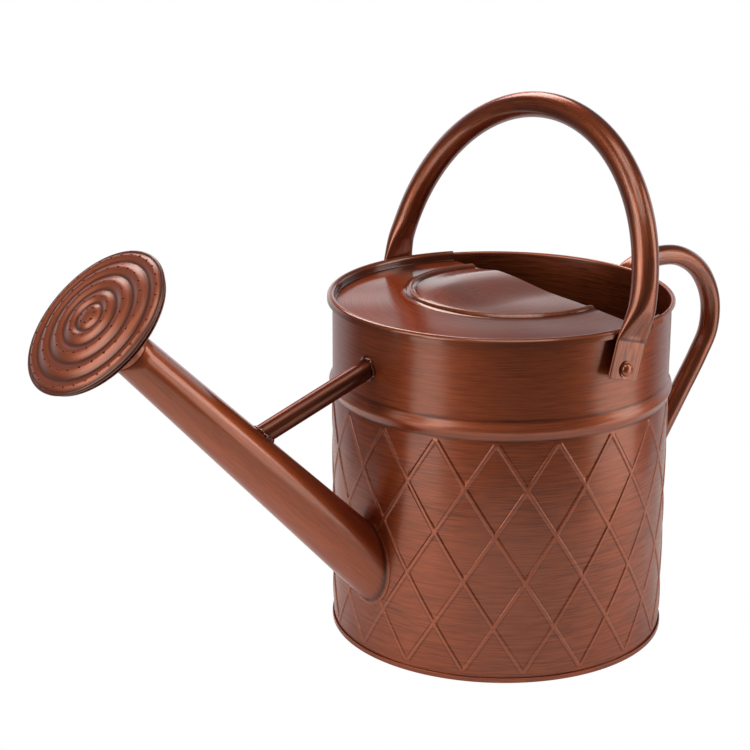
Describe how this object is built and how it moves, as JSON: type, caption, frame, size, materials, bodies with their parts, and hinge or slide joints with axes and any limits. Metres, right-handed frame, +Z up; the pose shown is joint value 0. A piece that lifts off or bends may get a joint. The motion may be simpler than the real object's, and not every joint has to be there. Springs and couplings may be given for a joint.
{
  "type": "watering can",
  "caption": "Round metal watering can with an embossed lattice, half-covered mouth, long braced spout, pull-off rose, swinging top handle and fixed rear handle.",
  "frame": {"origin": "centre of the base plate's underside, on the surface that the can stands on", "axes": "+Z up, +X towards the spout, +Y towards the can's left-hand rivet seen from the rear handle"},
  "size_m": [0.4685, 0.2124, 0.3035],
  "materials": {
    "body": "antique copper plate, brushed round the can, semi-gloss clear lacquer",
    "base": "antique copper plate, darker, semi-gloss clear lacquer",
    "cover": "antique copper plate, brushed, pressed panel, semi-gloss clear lacquer",
    "spout": "antique copper plate, smooth, semi-gloss clear lacquer",
    "brace": "antique copper plate, darkened, semi-gloss clear lacquer",
    "rose": "antique copper plate, pressed rings, semi-gloss clear lacquer",
    "handles": "antique copper plate, brushed along the tube, semi-gloss clear lacquer",
    "rivets": "antique copper plate, worn bright on the dome",
    "washers": "antique copper plate, dull"
  },
  "bodies": {
    "can": {"body_shell": "body", "base_plate": "base", "top_cover": "cover", "spout_tube": "spout", "spout_brace": "brace", "rear_handle": "handles", "handle_rivet_left": "rivets", "handle_rivet_right": "rivets", "handle_spacer_left": "washers", "handle_spacer_right": "washers", "rivet_burr_left": "washers", "rivet_burr_right": "washers"},
    "carrying_handle": {"top_handle": "handles"},
    "rose": {"rose_face": "rose", "rose_cup": "rose", "rose_socket": "spout"}
  },
  "joints": [
    {"name": "top_handle_swing", "type": "hinge", "parent": "can", "child": "carrying_handle", "pos_m": [0, 0, 0.174], "axis": [0, 1, 0], "range_deg": [-57, 105]},
    {"name": "rose_pull_off", "type": "slide", "parent": "can", "child": "rose", "axis": [0.7046, 0, 0.7096], "range_m": [0, 0.06]}
  ]
}
